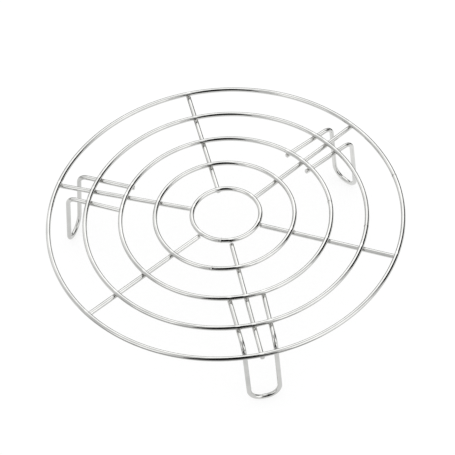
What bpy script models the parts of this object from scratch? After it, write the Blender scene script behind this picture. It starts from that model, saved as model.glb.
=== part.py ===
"""Round wire cooling rack, in metres, +Z up.

Five concentric wire rings lie on six radial spokes, and three bent wire legs are welded under the
two outermost inner rings, on every other spoke. All fourteen wires have the same diameter. The rack
stands on z = 0 with the common centre of its rings on the Z axis, and one leg points along -Y.
"""

import math

import bmesh
import bpy
from mathutils import Matrix, Vector

# Driving dimensions.
WIRE_RADIUS = 0.0015
RACK_HEIGHT = 0.054
OUTER_RING_RADIUS = 0.1135
INNER_RING_RADIUS = 0.022
WIRE_GAP = 0.0003

# The wires are drawn with eight flat sides inside their round section, one of them facing up.
WIRE_BEVEL_RESOLUTION = 2
FLAT_SIDE_TILT = math.radians(22.5)
FLAT_DISTANCE = WIRE_RADIUS * math.cos(FLAT_SIDE_TILT)

# The rings, from the centre outwards, evenly spaced in one plane.
RING_NAMES = ("ring_inner", "ring_second", "ring_middle", "ring_fourth", "ring_outer")
RING_STEP = (OUTER_RING_RADIUS - INNER_RING_RADIUS) / (len(RING_NAMES) - 1)
RING_RADII = [INNER_RING_RADIUS + RING_STEP * i for i in range(len(RING_NAMES))]
RING_HEIGHT = RACK_HEIGHT - WIRE_RADIUS
FEWEST_RING_SIDES = 24
EXTRA_SIDES_PER_RING = 8

# The spokes lie under the rings. They end under the inner ring and just past the outer one.
SPOKE_ANGLES = {
    "spoke_front": -90,
    "spoke_front_right": -30,
    "spoke_back_right": 30,
    "spoke_back": 90,
    "spoke_back_left": 150,
    "spoke_front_left": 210,
}
SPOKE_HEIGHT = RING_HEIGHT - 2 * FLAT_DISTANCE - WIRE_GAP
SPOKE_INNER_END = INNER_RING_RADIUS + 0.0008
SPOKE_OUTER_END = OUTER_RING_RADIUS + 0.0003

# The legs: two level arms beside a spoke, bent down into a splayed U that the rack stands on.
LEG_ANGLES = {"leg_front": -90, "leg_back_right": 30, "leg_back_left": 150}
LEG_WIDTH = 0.020
ARM_INNER_END = RING_RADII[2] - 0.0024
LEG_BEND_AT = 0.1045
LEG_BEND_RADIUS = 0.0065
LEG_SPLAY = math.radians(5.5)
FOOT_CORNER_RADIUS = 0.0085
FOOT_FLAT_DEPTH = 0.00015
FOOT_HEIGHT = WIRE_RADIUS - FOOT_FLAT_DEPTH
BEND_STEPS = 6
FOOT_STEPS = 7

# Chrome plate on steel wire.
CHROME_COLOR = (0.80, 0.80, 0.79, 1.0)
CHROME_ROUGHNESS = 0.12


def clear_scene():
    """Removes whatever the file opened with."""
    for old in list(bpy.data.objects):
        bpy.data.objects.remove(old)


def new_collection(name):
    """A collection linked to the scene."""
    made = bpy.data.collections.new(name)
    bpy.context.scene.collection.children.link(made)
    return made


def chrome(name):
    """The bright plating of one wire."""
    made = bpy.data.materials.new(name)
    made.use_nodes = True
    shader = made.node_tree.nodes["Principled BSDF"]
    shader.inputs["Base Color"].default_value = CHROME_COLOR
    shader.inputs["Metallic"].default_value = 1.0
    shader.inputs["Roughness"].default_value = CHROME_ROUGHNESS
    return made


def wire(name, points, collection, closed=False):
    """A wire of the common section along the points, with a flat side facing up where it is level."""
    curve = bpy.data.curves.new(name, "CURVE")
    curve.dimensions = "3D"
    curve.twist_mode = "Z_UP" if closed else "MINIMUM"
    curve.bevel_depth = WIRE_RADIUS
    curve.bevel_resolution = WIRE_BEVEL_RESOLUTION
    curve.use_fill_caps = not closed
    spline = curve.splines.new("POLY")
    spline.points.add(len(points) - 1)
    spline.use_cyclic_u = closed
    for place, point in zip(spline.points, points):
        place.co = (*point, 1.0)
        place.tilt = FLAT_SIDE_TILT
    curve.materials.append(chrome(name + "_chrome"))
    made = bpy.data.objects.new(name, curve)
    collection.objects.link(made)
    return made


def curve_to_mesh(curve_object, collection):
    """The same wire as a mesh with its end caps joined on, so that it can be cut."""
    bpy.context.view_layer.update()
    evaluated = curve_object.evaluated_get(bpy.context.evaluated_depsgraph_get())
    mesh = bpy.data.meshes.new_from_object(evaluated)
    shell = bmesh.new()
    shell.from_mesh(mesh)
    bmesh.ops.remove_doubles(shell, verts=shell.verts, dist=1e-6)
    shell.to_mesh(mesh)
    shell.free()
    name = curve_object.name
    place = curve_object.matrix_world.copy()
    bpy.data.objects.remove(curve_object)
    made = bpy.data.objects.new(name, mesh)
    made.matrix_world = place
    collection.objects.link(made)
    return made


def floor_cutter(collection):
    """A block below z = 0 that grinds the small flats on which the feet rest."""
    bpy.ops.mesh.primitive_cube_add(size=1.0)
    made = bpy.context.active_object
    made.name = "floor_cutter"
    for old in list(made.users_collection):
        old.objects.unlink(made)
    collection.objects.link(made)
    width = 3 * OUTER_RING_RADIUS
    depth = 4 * WIRE_RADIUS
    made.data.transform(Matrix.Diagonal((width, width, depth, 1.0)))
    made.location = (0.0, 0.0, -depth / 2)
    made.hide_render = True
    made.display_type = "WIRE"
    return made


def ring_points(radius, sides):
    """A circle in the rings' plane."""
    turns = [2 * math.pi * i / sides for i in range(sides)]
    return [(radius * math.cos(t), radius * math.sin(t), RING_HEIGHT) for t in turns]


def add_rings(collection):
    """The concentric rings that the food rests on."""
    for index, (name, radius) in enumerate(zip(RING_NAMES, RING_RADII)):
        sides = FEWEST_RING_SIDES + EXTRA_SIDES_PER_RING * index
        wire(name, ring_points(radius, sides), collection, closed=True)


def add_spokes(collection):
    """The straight wires that carry the rings, each made along +X and turned to its angle."""
    ends = [(SPOKE_INNER_END, 0, SPOKE_HEIGHT), (SPOKE_OUTER_END, 0, SPOKE_HEIGHT)]
    for name, degrees in SPOKE_ANGLES.items():
        made = wire(name, ends, collection)
        made.rotation_euler.z = math.radians(degrees)


def rounded_corner(corner, before, after, radius, steps):
    """Points on the arc that rounds the corner between two unit directions."""
    turn = before.angle(after)
    reach = radius * math.tan(turn / 2)
    start = corner - before * reach
    inward = (after - before * before.dot(after)).normalized()
    centre = start + inward * radius
    arc = []
    for i in range(steps + 1):
        angle = turn * i / steps
        arc.append(centre - inward * radius * math.cos(angle) + before * radius * math.sin(angle))
    return arc


def leg_points():
    """The centreline of one leg for a spoke along +X: arm, bend, foot, bend, arm."""
    half = LEG_WIDTH / 2
    outward = Vector((1, 0, 0))
    across = Vector((0, -1, 0))
    down = Vector((math.sin(LEG_SPLAY), 0, -math.cos(LEG_SPLAY)))
    foot_reach = (SPOKE_HEIGHT - FOOT_HEIGHT) / math.cos(LEG_SPLAY)
    start = Vector((math.sqrt(ARM_INNER_END**2 - half**2), half, SPOKE_HEIGHT))
    knee = Vector((LEG_BEND_AT, half, SPOKE_HEIGHT))
    toe = knee + down * foot_reach
    one_side = [start]
    one_side += rounded_corner(knee, outward, down, LEG_BEND_RADIUS, BEND_STEPS)
    one_side += rounded_corner(toe, down, across, FOOT_CORNER_RADIUS, FOOT_STEPS)
    other_side = [Vector((p.x, -p.y, p.z)) for p in reversed(one_side)]
    return one_side + other_side


def add_legs(collection, cutter):
    """The three bent legs, with a small flat ground under each foot."""
    for name, degrees in LEG_ANGLES.items():
        curve_object = wire(name, leg_points(), collection)
        curve_object.rotation_euler.z = math.radians(degrees)
        made = curve_to_mesh(curve_object, collection)
        cut = made.modifiers.new("foot_flat", "BOOLEAN")
        cut.operation = "DIFFERENCE"
        cut.solver = "EXACT"
        cut.object = cutter


def main():
    clear_scene()
    rack = new_collection("cooling_rack")
    cutters = new_collection("cutters")
    add_rings(rack)
    add_spokes(rack)
    add_legs(rack, floor_cutter(cutters))


main()
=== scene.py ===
"""The looks of the round wire cooling rack: plated wires with drawn-wire texture, bends, cut ends,
electrode marks and butt welds, spot-weld fillets at every crossing, and a white product studio.

All sizes are in metres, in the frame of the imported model. Each CAD wire is replaced by a round,
finely meshed wire that lies within 2.5 mm of its drawn place, as hand-made racks vary.
"""

import math

import bpy
import numpy as np
from mathutils import Matrix, Vector


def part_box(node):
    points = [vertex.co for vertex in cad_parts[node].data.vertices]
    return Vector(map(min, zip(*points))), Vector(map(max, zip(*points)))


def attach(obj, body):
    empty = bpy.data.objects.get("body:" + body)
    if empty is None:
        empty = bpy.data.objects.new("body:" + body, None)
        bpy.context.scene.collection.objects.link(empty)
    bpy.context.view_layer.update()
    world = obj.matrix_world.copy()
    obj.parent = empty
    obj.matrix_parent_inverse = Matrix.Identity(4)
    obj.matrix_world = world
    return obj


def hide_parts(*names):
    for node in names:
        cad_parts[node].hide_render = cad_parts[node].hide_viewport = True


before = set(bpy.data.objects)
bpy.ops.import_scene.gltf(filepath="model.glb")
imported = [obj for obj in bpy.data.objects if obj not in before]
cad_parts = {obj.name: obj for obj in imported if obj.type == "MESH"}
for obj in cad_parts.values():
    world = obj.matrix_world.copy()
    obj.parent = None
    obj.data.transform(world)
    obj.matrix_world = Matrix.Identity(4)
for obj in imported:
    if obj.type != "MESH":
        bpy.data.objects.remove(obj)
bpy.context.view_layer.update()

# ---------------------------------------------------------------- the rack's design, as in the CAD
WIRE_RADIUS = 0.0015
CAD_FLAT_DISTANCE = WIRE_RADIUS * math.cos(math.radians(22.5))
RING_NAMES = ("ring_inner", "ring_second", "ring_middle", "ring_fourth", "ring_outer")
SPOKE_ANGLES = {
    "spoke_front": -90,
    "spoke_front_right": -30,
    "spoke_back_right": 30,
    "spoke_back": 90,
    "spoke_back_left": 150,
    "spoke_front_left": 210,
}
LEG_ANGLES = {"leg_front": -90, "leg_back_right": 30, "leg_back_left": 150}
LEG_BEND_AT = 0.1045
LEG_BEND_RADIUS = 0.0065
LEG_SPLAY = math.radians(5.5)
FOOT_CORNER_RADIUS = 0.0085

# ---------------------------------------------------------------- hand work, in millimetres
# The rack is bent and welded by hand, so its wires lie up to 2.5 mm off their drawn places.
MM = 0.001

# Each ring's centre, to the right and to the back of the drawn one, and its radius over the drawn one.
RING_SHIFTS = {
    "ring_inner": (0.9, 0.4, 0.0),
    "ring_second": (-0.1, 0.5, -0.1),
    "ring_middle": (0.4, -0.3, -0.2),
    "ring_fourth": (0.2, -0.3, -0.3),
    "ring_outer": (0.0, 0.0, 0.0),
}

# Each spoke's inner and outer end, sideways, and how much further out than drawn it ends.
# Sideways is counterclockwise, seen from above.
SPOKE_SHIFTS = {
    "spoke_front": (-0.7, -1.4, 0.0),
    "spoke_front_right": (0.2, -2.4, 0.0),
    "spoke_back_right": (-0.5, 0.6, 0.0),
    "spoke_back": (-0.6, 1.4, 0.0),
    "spoke_back_left": (-1.6, 1.7, 0.0),
    "spoke_front_left": (-0.3, -1.1, -1.1),
}

# Each leg's two arm ends, two upper bends and two lower bends, sideways, and its foot, outwards.
LEG_SHIFTS = {
    "leg_front": {"arms": (0.0, -1.4), "bends": (-1.4, -0.9), "feet": (-0.4, 0.1), "out": -1.2},
    "leg_back_right": {"arms": (1.7, 2.4), "bends": (-0.3, 0.7), "feet": (-0.2, 0.2), "out": -0.9},
    "leg_back_left": {"arms": (1.6, 0.9), "bends": (0.4, 0.3), "feet": (-0.8, 0.4), "out": 1.3},
}

# How much longer each leg's two arms were cut than drawn.
ARM_CUTS = {
    "leg_front": (0.4, 0.6),
    "leg_back_right": (-0.5, 0.3),
    "leg_back_left": (-2.1, -1.2),
}

# ---------------------------------------------------------------- fine shape of the plated wire
SEED = 7

# The mesh: points around the wire, and steps along it, which are finer beside the welds.
SIDES = 28
COARSE_STEP = 0.0018
FINE_STEP = 0.00022
FINE_REACH = 0.0026
ARC_STEP = math.radians(4)
FEWEST_ARC_STEPS = 4

# Traces of the making: heated spots, electrode marks, flattened bends and worn ends. The ends' paler
# colour is partly wear and partly painted light that lightens the shade where the ends run under the
# rings.
HEAT_REACH = 0.0010
ELECTRODE_DEPTH = 0.00012
ELECTRODE_LENGTH = 0.0015
BEND_FLATTENING = 0.05
WEAR_AND_PAINTED_LIGHT_REACH = 0.0025

# Each ring's butt weld, at its angle from +X in degrees, with dark scale left on the inner side and
# a little on top, and the wave left by the bending.
SEAM_ANGLES = {
    "ring_inner": -110,
    "ring_second": -112,
    "ring_middle": -5.1,
    "ring_fourth": -20.8,
    "ring_outer": 2.4,
}
SEAM_BEAD = 0.00017
SEAM_LENGTH = 0.00042
SEAM_HEAT = 0.8
SEAM_TOP_SCALE = 0.35
RING_WAVE = 0.00007
WAVE_LOBES = (3, 5, 7)

# The sheared ends: a rounded rim in some steps, then the cut face in rings at shares of its radius.
END_ROUNDING = 0.00035
RIM_STEPS = 5
FACE_SHARES = (0.84, 0.6, 0.34, 0.12)
PLATED_RIM_ROWS = 3
BURR_HEIGHT = 0.00008
BURR_INNER_SHARE = 0.6
SHEAR_TILT = 0.00006
SHEAR_TURN = 0.7

# The spot welds: a fillet around each crossing, with no fillet where the lower wire ends nearby.
WELD_BLEND = 0.0009
WELD_SIZES = (0.85, 1.15)
WELD_UNEVENNESS = 0.35
WELD_HALF_HEIGHT = 0.0010
WELD_REACH = 0.0028
WELD_TUCK = 0.00001
WELD_COLUMNS = 64
WELD_ROWS = 21
WELD_SAMPLES = 241
HIDDEN_SHRINK = 0.35
FILLET_END = 0.0022
FILLET_ROOM = 0.0023
SMALLEST_FILLET = 0.03

# The beads squeezed out of a weld, with how far apart chance lays them.
BEAD_RADIUS = 0.00054
BEAD_SIZES = (0.8, 1.15)
BEAD_OFFSET = 0.0017
BEAD_OFFSETS = (0.9, 1.1)
BEAD_ASIDE = 0.5
BEAD_HEIGHTS = (-0.0002, 0.0001)
BEAD_BLEND = 0.00035
BEAD_ROOM = 0.0018

# ---------------------------------------------------------------- the metal
THIN_PLATING = (0.585, 0.588, 0.575, 1)
THICK_PLATING = (0.685, 0.685, 0.67, 1)
HAIRLINE = (0.52, 0.52, 0.505, 1)
HAIRLINE_TINT = 0.5
HEATED_PLATING = (0.42, 0.405, 0.375, 1)
HEAT_TINT = 0.25
HEAT_DULLING = 0.10
# Paler plating at the wire ends: partly wear, partly painted light over the shade under the rings.
WORN_AND_PAINTED_LIGHT_PLATING = (0.83, 0.83, 0.815, 1)
WEAR_AND_PAINTED_LIGHT_TINT = 0.75
WEAR_DULLING = 0.30
SEAM_SCALE = (0.13, 0.125, 0.12, 1)
SCALE_TINT = 0.85
SCALE_DULLING = 0.25
DULLER_LINES = 0.05
SMUDGE_DULLING = 0.04
RING_POLISH = 0.015
SPOKE_POLISH = 0.015
LEG_POLISH = 0.01

CUT_COLOURS = ((0.56, 0.56, 0.55, 1), (0.70, 0.70, 0.685, 1))
CUT_ROUGHNESS = (0.22, 0.42)
WELD_COLOURS = ((0.42, 0.412, 0.395, 1), (0.66, 0.66, 0.64, 1))
WELD_ROUGHNESS = (0.12, 0.26)

# ---------------------------------------------------------------- the studio
SURROUND_STRENGTH = 1.02
FLOOR_REACH = 6.0
FLOOR_GREY = (0.25, 0.25, 0.25, 1)
FLOOR_STRENGTH = 0.77
CARD_COLUMNS = 13
CARD_ROWS = 9
FLOOR_CARD_COLUMNS = 25

# ---------------------------------------------------------------- the view
CAMERA_AZIMUTH = math.radians(-8.55)
CAMERA_ELEVATION = math.radians(49.34)
CAMERA_DISTANCE = 1.0569
CAMERA_ROLL = math.radians(4.72)
CAMERA_LENS = 131.6
AIM_RIGHT = 0.00101
AIM_BACK = -0.01068


# ================================================================ reading the frame
def mid_height(node):
    """The height of a level wire's centreline."""
    low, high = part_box(node)
    return (low.z + high.z) / 2


def ring_radius(node):
    """The radius of a ring's centreline, as it was bent."""
    low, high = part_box(node)
    drawn = (high.x - low.x) / 2 - CAD_FLAT_DISTANCE
    return drawn + RING_SHIFTS[node][2] * MM


RING_HEIGHT = mid_height("ring_outer")
SPOKE_HEIGHT = mid_height("spoke_front")
RING_RADII = {name: ring_radius(name) for name in RING_NAMES}
SPOKE_INNER_END = -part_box("spoke_front")[1].y
SPOKE_OUTER_END = -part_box("spoke_front")[0].y
ARM_INNER_END = -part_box("leg_front")[1].y
LEG_HALF_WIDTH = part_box("leg_front")[1].x - CAD_FLAT_DISTANCE
FOOT_HEIGHT = WIRE_RADIUS
UP = np.array([0.0, 0.0, 1.0])


# ================================================================ materials
class Nodes:
    """A short way to add and link shader nodes."""

    def __init__(self, name):
        """A new material with its shader."""
        self.material = bpy.data.materials.new(name)
        self.material.use_nodes = True
        self.tree = self.material.node_tree
        self.shader = self.tree.nodes["Principled BSDF"]

    def add(self, kind, links=(), **settings):
        """A node with its settings; links are (input, value or socket)."""
        node = self.tree.nodes.new(kind)
        for key, value in settings.items():
            setattr(node, key, value)
        for key, value in links:
            self.connect(node, key, value)
        return node

    def connect(self, node, key, value):
        """Sets an input to a number or colour, or links a socket to it."""
        if isinstance(value, bpy.types.NodeSocket):
            self.tree.links.new(value, node.inputs[key])
        else:
            node.inputs[key].default_value = value

    def noise(self, vector, scale, detail=2.0, roughness=0.5):
        """The value of a noise texture."""
        links = [("Vector", vector), ("Scale", scale), ("Detail", detail), ("Roughness", roughness)]
        return self.add("ShaderNodeTexNoise", links).outputs[0]

    def stretched(self, source, scale):
        """Coordinates scaled on each axis."""
        return self.add("ShaderNodeMapping", [("Vector", source), ("Scale", scale)]).outputs[0]

    def remap(self, value, low, high, to_low, to_high):
        """A value remapped from one range to another, clamped."""
        links = [("Value", value), ("From Min", low), ("From Max", high)]
        links += [("To Min", to_low), ("To Max", to_high)]
        return self.add("ShaderNodeMapRange", links).outputs[0]

    def math(self, operation, first, second):
        """One arithmetic step."""
        return self.add("ShaderNodeMath", [(0, first), (1, second)], operation=operation).outputs[0]

    def mix(self, factor, first, second):
        """A blend of two colours."""
        node = self.add("ShaderNodeMix", data_type="RGBA")
        self.connect(node, "Factor", factor)
        for socket, value in ((node.inputs[6], first), (node.inputs[7], second)):
            if isinstance(value, bpy.types.NodeSocket):
                self.tree.links.new(value, socket)
            else:
                socket.default_value = value
        return node.outputs[2]


def plated_wire(name, polish):
    """Bright plating over drawn wire: faint lines along it, cloudy thickness, dull spots at the welds and
    paler, rougher ends; the paler colour of the ends is partly wear and partly painted light over the
    shade under the rings."""
    n = Nodes(name)
    along = n.add("ShaderNodeUVMap", uv_map="along_and_around").outputs[0]
    place = n.add("ShaderNodeTexCoord").outputs["Object"]
    heat = n.add("ShaderNodeAttribute", attribute_name="weld_heat").outputs["Fac"]
    wear_and_painted_light = n.add("ShaderNodeAttribute", attribute_name="end_wear_and_painted_light").outputs["Fac"]
    scale = n.add("ShaderNodeAttribute", attribute_name="seam_scale").outputs["Fac"]
    draw_lines = n.noise(n.stretched(along, (90.0, 34.0, 1.0)), 1.0, 5.0, 0.65)
    hairlines = n.noise(n.stretched(along, (420.0, 150.0, 1.0)), 1.0, 2.0, 0.7)
    clouds = n.noise(place, 55.0, 3.0, 0.55)
    smudges = n.noise(place, 210.0, 4.0, 0.6)
    bright = n.mix(n.remap(clouds, 0.35, 0.65, 0.0, 1.0), THIN_PLATING, THICK_PLATING)
    scuffed = n.mix(n.remap(hairlines, 0.62, 0.80, 0.0, HAIRLINE_TINT), bright, HAIRLINE)
    heated = n.mix(n.math("MULTIPLY", heat, HEAT_TINT), scuffed, HEATED_PLATING)
    # Paler towards the ends: partly wear, partly painted light over the shade under the rings.
    paler = n.mix(n.math("MULTIPLY", wear_and_painted_light, WEAR_AND_PAINTED_LIGHT_TINT), heated, WORN_AND_PAINTED_LIGHT_PLATING)
    colour = n.mix(n.math("MULTIPLY", scale, SCALE_TINT), paler, SEAM_SCALE)
    n.connect(n.shader, "Base Color", colour)
    n.connect(n.shader, "Metallic", 1.0)
    fine = n.remap(draw_lines, 0.3, 0.7, polish, polish + DULLER_LINES)
    smeared = n.math("ADD", fine, n.remap(smudges, 0.5, 0.75, 0.0, SMUDGE_DULLING))
    dulled = n.math("ADD", smeared, n.math("MULTIPLY", heat, HEAT_DULLING))
    worn = n.math("ADD", dulled, n.math("MULTIPLY", wear_and_painted_light, WEAR_DULLING))
    n.connect(n.shader, "Roughness", n.math("ADD", worn, n.math("MULTIPLY", scale, SCALE_DULLING)))
    relief = n.math("ADD", draw_lines, n.math("MULTIPLY", hairlines, 0.35))
    bump = n.add("ShaderNodeBump", [("Height", relief), ("Strength", 0.10), ("Distance", 0.00006)])
    n.connect(n.shader, "Normal", bump.outputs[0])
    return n.material


def cut_end():
    """The sheared end of a wire: parallel shear lines, duller than the drawn side."""
    n = Nodes("sheared_end")
    place = n.add("ShaderNodeTexCoord").outputs["Object"]
    lines = n.noise(n.stretched(place, (900.0, 900.0, 5200.0)), 1.0, 3.0, 0.6)
    spots = n.noise(place, 900.0, 3.0, 0.6)
    colour = n.mix(n.remap(spots, 0.35, 0.7, 0.0, 1.0), *CUT_COLOURS)
    n.connect(n.shader, "Base Color", colour)
    n.connect(n.shader, "Metallic", 1.0)
    n.connect(n.shader, "Roughness", n.remap(lines, 0.3, 0.7, *CUT_ROUGHNESS))
    bump = n.add("ShaderNodeBump", [("Height", lines), ("Strength", 0.35), ("Distance", 0.00008)])
    n.connect(n.shader, "Normal", bump.outputs[0])
    return n.material


def weld_metal():
    """Melted and plated metal at the crossings: lumpy, darker in places, with small pits."""
    n = Nodes("plated_weld")
    place = n.add("ShaderNodeTexCoord").outputs["Object"]
    lumps = n.noise(place, 1300.0, 3.0, 0.6)
    pits = n.noise(place, 4200.0, 2.0, 0.5)
    colour = n.mix(n.remap(lumps, 0.38, 0.66, 0.0, 1.0), *WELD_COLOURS)
    n.connect(n.shader, "Base Color", colour)
    n.connect(n.shader, "Metallic", 1.0)
    n.connect(n.shader, "Roughness", n.remap(pits, 0.35, 0.7, *WELD_ROUGHNESS))
    relief = n.math("ADD", lumps, n.math("MULTIPLY", pits, 0.25))
    bump = n.add("ShaderNodeBump", [("Height", relief), ("Strength", 0.30), ("Distance", 0.00012)])
    n.connect(n.shader, "Normal", bump.outputs[0])
    return n.material


# ================================================================ runs and crossings
def turned(points, degrees):
    """Points made for a spoke along +X, turned about the Z axis."""
    c, s = math.cos(math.radians(degrees)), math.sin(math.radians(degrees))
    return np.asarray(points, float) @ np.array([[c, s, 0], [-s, c, 0], [0, 0, 1]])


def unit(vector):
    """The same direction with length one."""
    return vector / np.linalg.norm(vector)


def ring_centre(ring):
    """The middle of a ring as it was welded, at the height of its centreline."""
    right, back, _ = RING_SHIFTS[ring]
    return np.array([right * MM, back * MM, RING_HEIGHT])


def follow(ring, degrees):
    """How far a ring lies outwards of its drawn place, seen along a spoke."""
    return float((ring_centre(ring) * (1, 1, 0)) @ turned((1, 0, 0), degrees))


def spoke_ends(name):
    """The two ends of a spoke's centreline."""
    degrees = SPOKE_ANGLES[name]
    inner_shift, outer_shift, longer = SPOKE_SHIFTS[name]
    inner = (SPOKE_INNER_END + follow("ring_inner", degrees), inner_shift * MM, SPOKE_HEIGHT)
    outer = (SPOKE_OUTER_END + longer * MM, outer_shift * MM, SPOKE_HEIGHT)
    return turned([inner, outer], degrees)


def leg_corners(name):
    """The sharp corners that a leg is bent through: arm end, bend, foot, foot, bend, arm end."""
    degrees, shifts = LEG_ANGLES[name], LEG_SHIFTS[name]
    arm_at = ARM_INNER_END + follow("ring_middle", degrees)
    foot_at = LEG_BEND_AT + (SPOKE_HEIGHT - FOOT_HEIGHT) * math.tan(LEG_SPLAY) + shifts["out"] * MM
    corners = []
    sides = zip((1, -1), shifts["arms"], shifts["bends"], shifts["feet"], ARM_CUTS[name])
    for side, arm, bend, foot, cut in sides:
        half = side * LEG_HALF_WIDTH
        one_side = [
            (arm_at - cut * MM, half + arm * MM, SPOKE_HEIGHT),
            (LEG_BEND_AT, half + bend * MM, SPOKE_HEIGHT),
            (foot_at, half + foot * MM, FOOT_HEIGHT),
        ]
        corners += one_side if side > 0 else one_side[::-1]
    return turned(corners, degrees)


def level_runs():
    """The straight level wires under the rings: the wire's name, its inner end and its outer end."""
    runs = [(name, *spoke_ends(name)) for name in SPOKE_ANGLES]
    for name in LEG_ANGLES:
        corners = leg_corners(name)
        runs.append((name, corners[0], corners[1]))
        runs.append((name, corners[-1], corners[-2]))
    return runs


def crossings():
    """Every weld: ring, lower wire, the point between the two wires, the lower wire's direction and
    how far it runs on inwards (negative) and outwards."""
    found = []
    for ring, radius in RING_RADII.items():
        for lower, inner, outer in level_runs():
            direction = unit(outer - inner)
            length = np.linalg.norm(outer - inner)
            from_centre = (inner - ring_centre(ring)) * (1, 1, 0)
            nearest = -float(from_centre @ direction)
            aside = np.linalg.norm(from_centre + direction * nearest)
            at = nearest + math.sqrt(max(radius**2 - aside**2, 0.0))
            if -WIRE_RADIUS < at < length + WIRE_RADIUS:
                point = inner + direction * at
                point[2] = (RING_HEIGHT + SPOKE_HEIGHT) / 2
                found.append((ring, lower, point, direction, (-at, length - at)))
    return found


CROSSINGS = crossings()


def weld_points(wire):
    """The crossings on one wire."""
    return np.array([weld[2] for weld in CROSSINGS if wire in weld[:2]])


# ================================================================ wires
class Path:
    """Stations along a wire's centreline: place, direction, and how sharply it bends there."""

    def __init__(self):
        """A path without stations."""
        self.points = []
        self.directions = []
        self.bends = []

    def put(self, point, direction, bend):
        """Adds one station."""
        self.points.append(np.asarray(point, float))
        self.directions.append(np.asarray(direction, float))
        self.bends.append(bend)

    def line(self, start, end, welds=()):
        """A straight run, with closer stations beside the welds that lie on it."""
        length = np.linalg.norm(end - start)
        direction = unit(end - start)
        marks = []
        for weld in welds:
            at = float((weld - start) @ direction)
            if np.linalg.norm(start + direction * at - weld) < 2 * WIRE_RADIUS:
                marks.append(at)
        for at in spaced(length, marks):
            self.put(start + direction * at, direction, 0.0)

    def arc(self, centre, start, direction, angle):
        """A bend from the start point, turning by the angle towards the centre."""
        arm = np.asarray(start, float) - centre
        radius = np.linalg.norm(arm)
        steps = max(FEWEST_ARC_STEPS, round(angle / ARC_STEP))
        for i in range(steps + 1):
            turn = angle * i / steps
            point = centre + arm * math.cos(turn) + direction * radius * math.sin(turn)
            tangent = direction * math.cos(turn) - arm / radius * math.sin(turn)
            self.put(point, tangent, math.sin(math.pi * i / steps) ** 0.5)

    def rounded(self, corners, radii, welds):
        """Straight runs between the corners, with every corner but the first and last rounded."""
        here, before = corners[0], corners[0]
        for corner, after, radius in zip(corners[1:-1], corners[2:], radii):
            incoming, outgoing = unit(corner - before), unit(after - corner)
            turn = math.acos(float(incoming @ outgoing))
            reach = radius * math.tan(turn / 2)
            bend_start = corner - incoming * reach
            inward = unit(outgoing - incoming * float(incoming @ outgoing))
            self.line(here, bend_start, welds)
            self.arc(bend_start + inward * radius, bend_start, incoming, turn)
            here, before = corner + outgoing * reach, corner
        self.line(here, corners[-1], welds)


def spaced(length, marks):
    """Distances from 0 to length, close together near the marks and coarse elsewhere."""
    stations = [0.0]
    while stations[-1] < length - FINE_STEP:
        here = stations[-1]
        near = min((abs(here - m) for m in marks), default=1.0)
        ahead = min((m - here for m in marks if m > here), default=1.0)
        step = FINE_STEP if near < FINE_REACH else min(COARSE_STEP, max(FINE_STEP, ahead - FINE_REACH))
        stations.append(min(length, here + step))
    stations[-1] = length
    return stations


def without_repeats(path):
    """The path with stations that lie on each other merged."""
    kept = Path()
    for point, direction, bend in zip(path.points, path.directions, path.bends):
        if kept.points and np.linalg.norm(point - kept.points[-1]) < FINE_STEP / 4:
            continue
        kept.put(point, direction, bend)
    return kept


def carried_frames(directions, up):
    """An up and a side direction at each station, carried along without twist."""
    ups = [up]
    for before, here in zip(directions[:-1], directions[1:]):
        axis = np.cross(before, here)
        size = np.linalg.norm(axis)
        turn = math.atan2(size, float(before @ here))
        last = ups[-1]
        if size > 1e-12:
            spin = np.array(Matrix.Rotation(turn, 3, Vector(axis / size)))
            last = spin @ last
        last = last - here * float(last @ here)
        ups.append(last / np.linalg.norm(last))
    ups = np.array(ups)
    return ups, np.cross(directions, ups)


def heat_at(points, welds):
    """1 in the middle of a weld, fading to 0 about two wire diameters away."""
    if not len(welds):
        return np.zeros(len(points))
    nearest = np.sqrt(((points[:, None] - welds[None]) ** 2).sum(2)).min(1)
    return np.exp(-((np.maximum(nearest - WIRE_RADIUS, 0) / HEAT_REACH) ** 2))


def electrode_mark(height, along, toward_ring):
    """Flattens the side of the wire that a welding electrode pressed, over a short length."""
    press = ELECTRODE_DEPTH * np.exp(-((along / ELECTRODE_LENGTH) ** 4))
    limit = WIRE_RADIUS - press
    pressed = np.minimum(np.abs(height), limit)
    facing = height * toward_ring > 0
    return np.where(facing, height, np.sign(height) * pressed)


def wire_surface(path, up, welds, weld_side, wobble=None):
    """Grid of surface points, one row a station. weld_side is +1 where the welds lie above the wire."""
    points = np.array(path.points)
    directions = np.array(path.directions)
    ups, sides = (up, np.cross(directions, up)) if up.ndim == 2 else carried_frames(directions, up)
    angles = 2 * math.pi * np.arange(SIDES) / SIDES
    bend = np.array(path.bends)[:, None]
    height = WIRE_RADIUS * np.cos(angles)[None] * (1 - BEND_FLATTENING * bend)
    width = WIRE_RADIUS * np.sin(angles)[None] * (1 + 0.5 * BEND_FLATTENING * bend)
    if wobble is not None:
        height, width = wobble(height, width)
    for weld in welds:
        flat_distance = np.linalg.norm((points - weld)[:, :2], axis=1)[:, None]
        height = electrode_mark(height, flat_distance, weld_side)
    return points[:, None] + ups[:, None] * height[..., None] + sides[:, None] * width[..., None]


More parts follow.
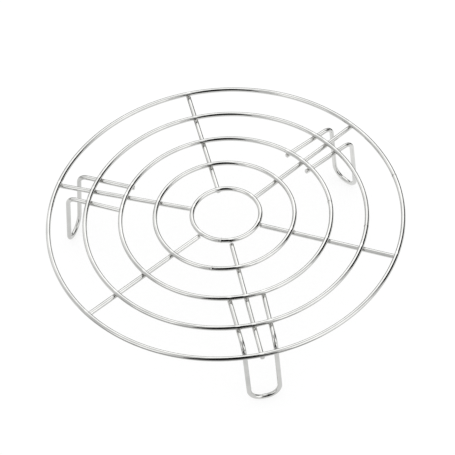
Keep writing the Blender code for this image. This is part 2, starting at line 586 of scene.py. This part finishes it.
def end_cap(rim, centre, outward, rng):
    """Rows of points that round the rim over and close a sheared end, with a burr on one side."""
    burr_angle = rng.uniform(0, 2 * math.pi)
    angles = 2 * math.pi * np.arange(len(rim)) / len(rim)
    burr = BURR_HEIGHT * np.maximum(0, np.cos(angles - burr_angle)) ** 3
    tilt = SHEAR_TILT * np.cos(angles - burr_angle - SHEAR_TURN)
    rows = []
    for turn in np.linspace(0, math.pi / 2, RIM_STEPS + 1)[1:]:
        shrink = 1 - (1 - math.cos(turn)) * END_ROUNDING / WIRE_RADIUS
        forward = END_ROUNDING * math.sin(turn) * np.ones(len(rim))
        forward += (burr + tilt) * math.sin(turn) ** 2
        rows.append(centre + (rim - centre) * shrink + outward * forward[:, None])
    for share in FACE_SHARES:
        inner = centre + (rim - centre) * share * (1 - END_ROUNDING / WIRE_RADIUS)
        dome = END_ROUNDING + (tilt * share + burr * max(0.0, (share - BURR_INNER_SHARE)) * 2)
        rows.append(inner + outward * dome[:, None])
    return rows


def grid_mesh(name, rows, lengths, closed, heat, wear_and_painted_light, scale):
    """A mesh tube from rows of points. An open tube is closed by a fan at each end."""
    count, sides = len(rows), len(rows[0])
    vertices = np.concatenate(rows)
    faces = []
    last = count if closed else count - 1
    for i in range(last):
        j = (i + 1) % count
        for k in range(sides):
            m = (k + 1) % sides
            faces.append((i * sides + k, j * sides + k, j * sides + m, i * sides + m))
    if not closed:
        tips = [vertices[:sides].mean(0), vertices[-sides:].mean(0)]
        start, end = len(vertices), len(vertices) + 1
        vertices = np.vstack([vertices, tips])
        heat = np.append(heat, [0.0, 0.0])
        wear_and_painted_light = np.append(wear_and_painted_light, [1.0, 1.0])
        scale = np.append(scale, [0.0, 0.0])
        base = (count - 1) * sides
        for k in range(sides):
            m = (k + 1) % sides
            faces.append((start, k, m))
            faces.append((end, base + m, base + k))
    mesh = bpy.data.meshes.new(name)
    mesh.from_pydata(vertices.tolist(), [], faces)
    store_coordinates(mesh, lengths, sides, count, closed)
    for attribute, values in (("weld_heat", heat), ("end_wear_and_painted_light", wear_and_painted_light), ("seam_scale", scale)):
        layer = mesh.attributes.new(attribute, "FLOAT", "POINT")
        layer.data.foreach_set("value", values.astype(np.float32))
    mesh.shade_smooth()
    return mesh


def store_coordinates(mesh, lengths, sides, count, closed):
    """A UV map with metres along the wire and turns around it, without a smear at the joins."""
    layer = mesh.uv_layers.new(name="along_and_around")
    total = lengths[-1] + (lengths[1] - lengths[0])
    for polygon in mesh.polygons:
        places = [(v // sides, v % sides) for v in polygon.vertices]
        wraps_along = closed and {row for row, _ in places} == {0, count - 1}
        wraps_around = {column for _, column in places} >= {0, sides - 1}
        for loop, (row, column) in zip(polygon.loop_indices, places):
            along = lengths[min(row, count - 1)]
            if wraps_along and row == 0:
                along = total
            around = column / sides
            if wraps_around and column == 0:
                around = 1.0
            layer.data[loop].uv = (along, around)


def finish_piece(name, mesh, materials, node):
    """Turns a mesh into a piece of the rack that stands for a CAD wire."""
    for material in materials:
        mesh.materials.append(material)
    mesh.validate()
    made = bpy.data.objects.new(name, mesh)
    bpy.context.scene.collection.objects.link(made)
    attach(made, "root")
    if node:
        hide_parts(node)
    return made


def add_wire(node, path, up, materials, rng):
    """A wire with two sheared ends, which lies under the rings."""
    path = without_repeats(path)
    welds = weld_points(node)
    surface = wire_surface(path, up, welds, 1)
    points = np.array(path.points)
    start_rows = end_cap(surface[0], points[0], -path.directions[0], rng)
    end_rows = end_cap(surface[-1], points[-1], path.directions[-1], rng)
    rows = start_rows[::-1] + list(surface) + end_rows
    steps = np.linalg.norm(np.diff([r.mean(0) for r in rows], axis=0), axis=1)
    lengths = np.concatenate([[0.0], np.cumsum(steps + 1e-6)])
    heat = heat_at(np.concatenate(rows), welds)
    from_end = np.minimum(lengths, lengths[-1] - lengths)
    # Strongest at the ends: wear, and painted light over the shade under the rings.
    wear_and_painted_light = np.repeat(np.exp(-((from_end / WEAR_AND_PAINTED_LIGHT_REACH) ** 2)), SIDES)
    mesh = grid_mesh(node + "_wire", rows, lengths, False, heat, wear_and_painted_light, np.zeros(len(heat)))
    made = finish_piece(node + "_wire", mesh, materials, node)
    face_rows = len(start_rows) - PLATED_RIM_ROWS
    for polygon in mesh.polygons:
        row = min(v // SIDES for v in polygon.vertices)
        if row < face_rows or row >= len(rows) - face_rows:
            polygon.material_index = 1
    return made


# ================================================================ rings
def ring_path(name):
    """A full turn, with close stations at the welds and at the butt weld."""
    radius, centre = RING_RADII[name], ring_centre(name)
    marks = [math.radians(SEAM_ANGLES[name])]
    for weld in weld_points(name):
        marks.append(math.atan2(weld[1] - centre[1], weld[0] - centre[0]))
    distances = sorted((m % (2 * math.pi)) * radius for m in marks)
    path = Path()
    for at in spaced(2 * math.pi * radius, distances)[:-1]:
        turn = at / radius
        outward = np.array([math.cos(turn), math.sin(turn), 0.0])
        path.put(centre + outward * radius, (-outward[1], outward[0], 0.0), 0.0)
    return path


def add_ring(name, materials, rng):
    """A closed ring with a butt weld and a hand-bent wave too small to notice by itself."""
    path = ring_path(name)
    radius = RING_RADII[name]
    from_centre = np.array(path.points) - ring_centre(name)
    turns = np.arctan2(from_centre[:, 1], from_centre[:, 0])
    phases = rng.uniform(0, 2 * math.pi, 3)
    wave = sum(np.sin(lobes * turns + p) / lobes for lobes, p in zip(WAVE_LOBES, phases))
    path.points = list(path.points + from_centre / radius * (wave * RING_WAVE)[:, None])
    away = (turns - math.radians(SEAM_ANGLES[name]) + math.pi) % (2 * math.pi) - math.pi
    bead = np.exp(-((away * radius / SEAM_LENGTH) ** 2))
    angles = 2 * math.pi * np.arange(SIDES) / SIDES
    uneven = 0.7 + 0.3 * np.sin(2 * angles + phases[0]) + 0.2 * np.sin(5 * angles + phases[1])

    def seam(height, width):
        """Swells the section at the butt weld."""
        swell = 1 + SEAM_BEAD / WIRE_RADIUS * bead[:, None] * uneven[None]
        return height * swell, width * swell

    up = np.tile(UP, (len(turns), 1))
    welds = weld_points(name)
    surface = wire_surface(path, up, welds, -1, wobble=seam)
    lengths = (turns % (2 * math.pi)) * radius
    heat = np.maximum(heat_at(surface.reshape(-1, 3), welds), np.repeat(bead, SIDES) * SEAM_HEAT)
    inner_side = np.clip(SEAM_TOP_SCALE - (1 - SEAM_TOP_SCALE) * np.sin(angles), 0, 1)
    scale = (bead[:, None] * inner_side[None]).reshape(-1)
    mesh = grid_mesh(name + "_wire", list(surface), lengths, True, heat, np.zeros(len(heat)), scale)
    return finish_piece(name + "_wire", mesh, materials, name)


# ================================================================ spokes and legs
def trimmed(corners):
    """The same corners, with both ends moved in by the depth of the rounded ends."""
    corners = np.array(corners)
    corners[0] += unit(corners[1] - corners[0]) * END_ROUNDING
    corners[-1] += unit(corners[-2] - corners[-1]) * END_ROUNDING
    return corners


def add_spoke(name, materials, rng):
    """A straight wire under the rings."""
    path = Path()
    path.line(*trimmed(spoke_ends(name)), weld_points(name))
    return add_wire(name, path, UP, materials, rng)


def add_leg(name, materials, rng):
    """Arm, bend, upright, rounded foot, upright, bend, arm."""
    path = Path()
    radii = (LEG_BEND_RADIUS, FOOT_CORNER_RADIUS, FOOT_CORNER_RADIUS, LEG_BEND_RADIUS)
    path.rounded(trimmed(leg_corners(name)), radii, weld_points(name))
    return add_wire(name, path, UP, materials, rng)


# ================================================================ spot welds
def soft_union(first, second, blend):
    """Smoothly joins two distances, which fills the corner between two wires."""
    overlap = np.maximum(blend - np.abs(first - second), 0.0) / blend
    return np.minimum(first, second) - overlap * overlap * blend / 4


def melted_beads(point, direction, span, rng):
    """Beads of metal squeezed out on both sides of the ring, where the lower wire runs on far enough."""
    across = np.cross((0, 0, 1), direction)
    beads = []
    for side in (-1, 1):
        along = side * BEAD_OFFSET * rng.uniform(*BEAD_OFFSETS)
        aside = rng.uniform(-BEAD_ASIDE, BEAD_ASIDE) * WIRE_RADIUS
        place = point + direction * along + across * aside + (0, 0, rng.uniform(*BEAD_HEIGHTS))
        radius = BEAD_RADIUS * rng.uniform(*BEAD_SIZES)
        if span[0] + BEAD_ROOM < along < span[1] - BEAD_ROOM:
            beads.append((place, radius))
    return beads


def weld_shape(ring, point, direction, span, rng):
    """The skin of one melted crossing, as rows of points from low to high."""
    radius, centre = RING_RADII[ring], ring_centre(ring)
    phases = rng.uniform(0, 2 * math.pi, 4)
    size = rng.uniform(*WELD_SIZES)
    columns = 2 * math.pi * np.arange(WELD_COLUMNS) / WELD_COLUMNS
    uneven = sum(np.sin((i + 2) * columns + p) for i, p in enumerate(phases)) / 4
    toward_end = np.cos(columns - math.atan2(direction[1], direction[0])) > 0
    room = np.where(toward_end, span[1], -span[0])
    share = np.clip((room - FILLET_END) / FILLET_ROOM, SMALLEST_FILLET, 1.0)
    blend = WELD_BLEND * size * (1 + WELD_UNEVENNESS * uneven) * share
    beads = melted_beads(point, direction, span, rng)

    def distance(places):
        """How far places lie outside the two wires and the metal melted between them."""
        flat = np.hypot(places[..., 0] - centre[0], places[..., 1] - centre[1])
        to_ring = np.hypot(flat - radius, places[..., 2] - RING_HEIGHT) - WIRE_RADIUS
        offset = places - point
        along = offset @ direction
        across = np.linalg.norm((offset - along[..., None] * direction) * (1, 1, 0), axis=-1)
        outside_round = np.hypot(across, places[..., 2] - SPOKE_HEIGHT) - WIRE_RADIUS
        outside_ends = np.maximum(span[0] - along, along - span[1]) + END_ROUNDING
        corner = np.hypot(np.maximum(outside_round + END_ROUNDING, 0), np.maximum(outside_ends, 0))
        deep = np.minimum(np.maximum(outside_round + END_ROUNDING, outside_ends), 0)
        to_lower = corner + deep - END_ROUNDING
        joined = soft_union(to_ring, to_lower, blend[:, None])
        for bead, bead_radius in beads:
            joined = soft_union(joined, np.linalg.norm(places - bead, axis=-1) - bead_radius, BEAD_BLEND)
        return joined + WELD_TUCK

    rows = []
    reach = np.linspace(0, WELD_REACH, WELD_SAMPLES)
    for height in np.linspace(-WELD_HALF_HEIGHT, WELD_HALF_HEIGHT, WELD_ROWS):
        rays = np.stack([np.cos(columns), np.sin(columns), 0 * columns], axis=1)
        places = point + rays[:, None] * reach[None, :, None] + (0, 0, height)
        outside = distance(places) > 0
        first = np.where(outside.any(1), outside.argmax(1), len(reach) - 1)
        shrink = 1 - HIDDEN_SHRINK * (abs(height) / WELD_HALF_HEIGHT) ** 6
        hidden = ~outside.any(1)
        length = reach[first] * np.where(hidden, shrink, 1.0)
        rows.append(point + rays * length[:, None] + (0, 0, height))
    return rows


def add_welds(ring, material, rng):
    """All the spot welds under one ring, as one piece of separate melted lumps."""
    vertices, faces = [], []
    for crossing_ring, _, point, direction, span in CROSSINGS:
        if crossing_ring != ring:
            continue
        base = len(vertices)
        rows = weld_shape(ring, point, direction, span, rng)
        vertices += [tuple(p) for row in rows for p in row]
        for i in range(WELD_ROWS - 1):
            for k in range(WELD_COLUMNS):
                m = (k + 1) % WELD_COLUMNS
                low, high = base + i * WELD_COLUMNS, base + (i + 1) * WELD_COLUMNS
                faces.append((low + k, low + m, high + m, high + k))
        top = base + (WELD_ROWS - 1) * WELD_COLUMNS
        faces.append(tuple(range(base + WELD_COLUMNS - 1, base - 1, -1)))
        faces.append(tuple(range(top, top + WELD_COLUMNS)))
    mesh = bpy.data.meshes.new("spot_welds_" + ring)
    mesh.from_pydata(vertices, [], faces)
    mesh.shade_smooth()
    return finish_piece("spot_welds_" + ring, mesh, [material], None)


# ================================================================ studio
def emission(name, strength, colour=(1, 1, 1, 1)):
    """A plain glowing material for a light panel."""
    material = bpy.data.materials.new(name)
    material.use_nodes = True
    tree = material.node_tree
    tree.nodes.clear()
    glow = tree.nodes.new("ShaderNodeEmission")
    glow.inputs["Color"].default_value = colour
    glow.inputs["Strength"].default_value = strength
    out = tree.nodes.new("ShaderNodeOutputMaterial")
    tree.links.new(glow.outputs[0], out.inputs["Surface"])
    return material


def card(name, azimuths, elevations, distance, strength):
    """A curved card around the rack, seen only in the reflections. Azimuth 0 is +X and 90 is +Y."""
    columns = np.radians(np.linspace(*azimuths, CARD_COLUMNS))
    rows = np.radians(np.linspace(*elevations, CARD_ROWS))
    vertices = []
    for e in rows:
        for a in columns:
            side = distance * math.cos(e)
            vertices.append((side * math.cos(a), side * math.sin(a), distance * math.sin(e) + RING_HEIGHT))
    wide = len(columns)
    faces = []
    for i in range(len(rows) - 1):
        for k in range(wide - 1):
            low, high = i * wide + k, (i + 1) * wide + k
            faces.append((low, low + 1, high + 1, high))
    return reflected_only(name, vertices, faces, strength)


def floor_card(name, azimuths, reach, height, strength):
    """A flat card low over the floor, seen only in the reflections."""
    turns = np.radians(np.linspace(*azimuths, FLOOR_CARD_COLUMNS))
    vertices = []
    for radius in reach:
        vertices += [(radius * math.cos(a), radius * math.sin(a), height) for a in turns]
    wide = len(turns)
    faces = [(k, k + 1, wide + k + 1, wide + k) for k in range(wide - 1)]
    return reflected_only(name, vertices, faces, strength)


def reflected_only(name, vertices, faces, strength):
    """A glowing or dark surface that only the metal sees."""
    mesh = bpy.data.meshes.new(name)
    mesh.from_pydata(vertices, [], faces)
    mesh.materials.append(emission(name, strength))
    made = bpy.data.objects.new(name, mesh)
    bpy.context.scene.collection.objects.link(made)
    made.visible_camera = False
    made.visible_diffuse = False
    made.visible_shadow = False
    return made


def add_studio():
    """An even white surround, a pale floor and the cards for the metal to mirror."""
    world = bpy.data.worlds.new("white_surround")
    bpy.context.scene.world = world
    world.use_nodes = True
    background = world.node_tree.nodes["Background"]
    background.inputs["Color"].default_value = (1, 1, 1, 1)
    background.inputs["Strength"].default_value = SURROUND_STRENGTH
    add_floor()
    add_cards()


def add_floor():
    """A wide pale floor, bright enough to stay nearly white."""
    floor_mesh = bpy.data.meshes.new("floor")
    corners = [(x * FLOOR_REACH, y * FLOOR_REACH, 0) for x, y in ((-1, -1), (1, -1), (1, 1), (-1, 1))]
    floor_mesh.from_pydata(corners, [], [(0, 1, 2, 3)])
    floor = bpy.data.objects.new("floor", floor_mesh)
    bpy.context.scene.collection.objects.link(floor)
    pale = bpy.data.materials.new("pale_floor")
    pale.use_nodes = True
    shader = pale.node_tree.nodes["Principled BSDF"]
    shader.inputs["Base Color"].default_value = FLOOR_GREY
    shader.inputs["Roughness"].default_value = 1.0
    shader.inputs["Specular IOR Level"].default_value = 0.0
    shader.inputs["Emission Color"].default_value = (1, 1, 1, 1)
    shader.inputs["Emission Strength"].default_value = FLOOR_STRENGTH
    floor_mesh.materials.append(pale)


def add_cards():
    """The light and dark cards that the metal mirrors: azimuths, elevations, distance, strength.
    A card on the floor has azimuths, its nearest and furthest reach, height, strength."""
    card("tent", (-180, 180), (-2, 90), 3.0, 0.74)
    card("key_right", (-70, -21), (2, 58), 1.6, 1.5)
    card("key_left", (-168, -138), (8, 56), 1.6, 1.35)
    card("key_back", (42, 98), (26, 76), 1.6, 1.65)
    card("fill_back", (98, 148), (14, 78), 1.6, 1.12)
    card("dim_far", (24, 124), (6, 20), 1.5, 0.42)
    card("dark_overhead", (-150, -58), (80, 90), 1.4, 0.05)
    card("dark_front", (-125, -82), (40, 86), 1.4, 0.01)
    card("dark_front_low", (-125, -78), (-2, 40), 1.4, 0.01)
    card("dark_right", (-11, 31), (3, 36), 1.4, 0.01)
    card("dark_right_top", (-2, 31), (36, 50), 1.4, 0.01)
    card("dark_far", (22, 110), (-4, 9), 1.3, 0.01)
    floor_card("floor_glow", (0, 360), (0.0, 2.9), 0.0003, 0.93)
    floor_card("floor_by_left_leg", (128, 186), (0.070, 0.158), 0.0004, 0.88)
    floor_card("floor_by_front_leg", (-112, -70), (0.064, 0.158), 0.0004, 0.91)
    floor_card("floor_by_back_leg", (8, 54), (0.070, 0.158), 0.0004, 1.02)
    floor_card("floor_shade", (-170, -62), (0.160, 2.8), 0.0005, 0.38)
    floor_card("floor_dim", (108, 130), (0.160, 2.8), 0.0005, 0.30)
    floor_card("floor_far", (20, 108), (0.210, 2.7), 0.0006, 0.02)


def add_camera():
    """The camera, which looks down at the rack from a little left of the front, with a small roll."""
    data = bpy.data.cameras.new("camera")
    data.lens = CAMERA_LENS
    data.sensor_width = 36.0
    camera = bpy.data.objects.new("camera", data)
    bpy.context.scene.collection.objects.link(camera)
    spin = Matrix.Rotation(CAMERA_AZIMUTH, 3, "Z")
    back = spin @ Vector((0, -math.cos(CAMERA_ELEVATION), math.sin(CAMERA_ELEVATION)))
    right = spin @ Vector((1, 0, 0))
    up = back.cross(right)
    aim = spin @ Vector((AIM_RIGHT, AIM_BACK, RING_HEIGHT))
    c, s = math.cos(CAMERA_ROLL), math.sin(CAMERA_ROLL)
    rolled_right = right * c - up * s
    rolled_up = right * s + up * c
    turn = Matrix((rolled_right, rolled_up, back)).transposed().to_4x4()
    camera.matrix_world = Matrix.Translation(aim + back * CAMERA_DISTANCE) @ turn
    bpy.context.scene.camera = camera
    bpy.context.scene.view_settings.view_transform = "Standard"


# ================================================================ the rack
def main():
    """The wires and their welds, then the studio around them."""
    rng = np.random.default_rng(SEED)
    ring_plating = plated_wire("ring_plating", RING_POLISH)
    spoke_plating = plated_wire("spoke_plating", SPOKE_POLISH)
    sheared = cut_end()
    leg_plating = plated_wire("leg_plating", LEG_POLISH)
    for name in RING_NAMES:
        add_ring(name, [ring_plating], rng)
    for name in SPOKE_ANGLES:
        add_spoke(name, [spoke_plating, sheared], rng)
    for name in LEG_ANGLES:
        add_leg(name, [leg_plating, sheared], rng)
    melted = weld_metal()
    for name in RING_NAMES:
        add_welds(name, melted, rng)
    add_studio()
    add_camera()


main()
